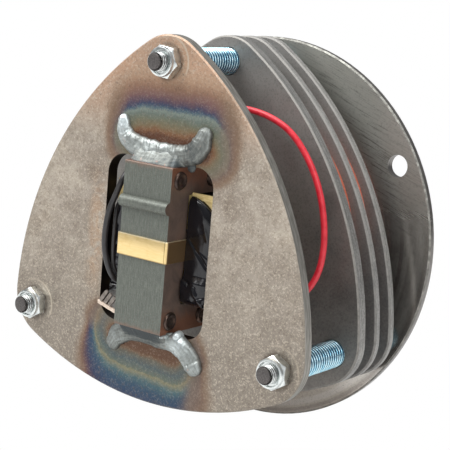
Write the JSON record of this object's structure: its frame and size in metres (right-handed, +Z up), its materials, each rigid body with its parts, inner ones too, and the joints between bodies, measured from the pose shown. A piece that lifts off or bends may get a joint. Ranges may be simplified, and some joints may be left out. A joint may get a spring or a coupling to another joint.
{
  "type": "electromagnetic clutch",
  "caption": "Spring-applied dry disc clutch: a laminated solenoid welded into a bulged triangular front plate pulls a pressure plate off lined discs on a splined hub.",
  "frame": {"origin": "on the shaft axis, in the rear flange's mounting face", "axes": "+Y is the shaft axis pointing out of the rear flange towards the machine, +Z is up through the top stud, +X is to the right seen from the solenoid end"},
  "size_m": [0.18, 0.0948, 0.1804],
  "materials": {
    "flange_steel": "turned and brushed, dark",
    "plate_steel": "bare mottled steel with heat tint round the welds",
    "dark_plate_steel": "bare dark steel, brighter worn edges",
    "blue_zinc": "blue-white zinc plate",
    "zinc": "bright zinc plate",
    "laminations": "varnished silicon-steel sheet edges",
    "rivet_steel": "plain steel",
    "copper": "bare copper",
    "bobbin_paper": "straw-coloured insulation",
    "black_tape": "glossy black tape",
    "brass": "bright rolled brass",
    "terminal_grey": "grey",
    "weld": "rippled weld metal",
    "red_insulation": "satin PVC",
    "black_insulation": "satin PVC",
    "spring_steel": "oiled spring wire",
    "lining": "orange-red friction lining",
    "hub_steel": "machined steel"
  },
  "bodies": {
    "root": {"rear_flange": "flange_steel", "stud_top": "blue_zinc", "stud_left": "blue_zinc", "stud_right": "blue_zinc", "lock_nut_top": "zinc", "lock_nut_left": "zinc", "lock_nut_right": "zinc", "front_plate": "plate_steel", "solenoid_frame": "laminations", "frame_rivets": "rivet_steel", "shading_rings": "copper", "bobbin": "bobbin_paper", "coil": "black_tape", "coil_end_tape": "black_tape", "brass_strap": "brass", "terminal_strip": "terminal_grey", "upper_weld": "weld", "lower_weld": "weld", "red_lead": "red_insulation", "black_lead": "black_insulation", "thin_lead": "black_insulation", "spring_top": "spring_steel", "spring_left": "spring_steel", "spring_right": "spring_steel", "front_spring_seats": "rivet_steel"},
    "armature": {"pressure_plate": "dark_plate_steel", "plunger": "laminations", "plunger_rivets": "rivet_steel", "drawbar_bracket": "rivet_steel", "bracket_screws": "zinc", "plunger_pin": "zinc", "pin_clip": "zinc", "rear_spring_seats": "rivet_steel"},
    "front_thin": {"front_thin_plate": "dark_plate_steel"},
    "rear_thin": {"rear_thin_plate": "dark_plate_steel"},
    "hub": {"splined_hub": "hub_steel", "hub_set_screw": "rivet_steel"},
    "front_disc": {"front_disc_core": "dark_plate_steel", "front_disc_front_lining": "lining", "front_disc_rear_lining": "lining"},
    "middle_disc": {"middle_disc_core": "dark_plate_steel", "middle_disc_front_lining": "lining", "middle_disc_rear_lining": "lining"},
    "rear_disc": {"rear_disc_core": "dark_plate_steel", "rear_disc_front_lining": "lining", "rear_disc_rear_lining": "lining"}
  },
  "joints": [
    {"name": "release", "type": "slide", "parent": "root", "child": "armature", "axis": [0, -1, 0], "range_m": [0, 0.003], "stiffness_N_per_m": 15000, "deforming": ["spring_top", "spring_left", "spring_right"]},
    {"name": "hub_spin", "type": "hinge", "parent": "root", "child": "hub", "pos_m": [0, -0.018, 0], "axis": [0, 1, 0], "continuous": true},
    {"name": "front_thin_slide", "type": "slide", "parent": "root", "child": "front_thin", "axis": [0, -1, 0], "range_m": [0, 0.0021]},
    {"name": "rear_thin_slide", "type": "slide", "parent": "root", "child": "rear_thin", "axis": [0, -1, 0], "range_m": [0, 0.0011]},
    {"name": "front_disc_slide", "type": "slide", "parent": "hub", "child": "front_disc", "axis": [0, -1, 0], "range_m": [0, 0.0026]},
    {"name": "middle_disc_slide", "type": "slide", "parent": "hub", "child": "middle_disc", "axis": [0, -1, 0], "range_m": [0, 0.0016]},
    {"name": "rear_disc_slide", "type": "slide", "parent": "hub", "child": "rear_disc", "axis": [0, -1, 0], "range_m": [0, 0.0006]}
  ],
  "couplings": [
    {"joint": "rear_disc_slide", "follows": "release", "ratio": 0.16667},
    {"joint": "rear_thin_slide", "follows": "release", "ratio": 0.33333},
    {"joint": "middle_disc_slide", "follows": "release", "ratio": 0.5},
    {"joint": "front_thin_slide", "follows": "release", "ratio": 0.66667},
    {"joint": "front_disc_slide", "follows": "release", "ratio": 0.83333}
  ]
}
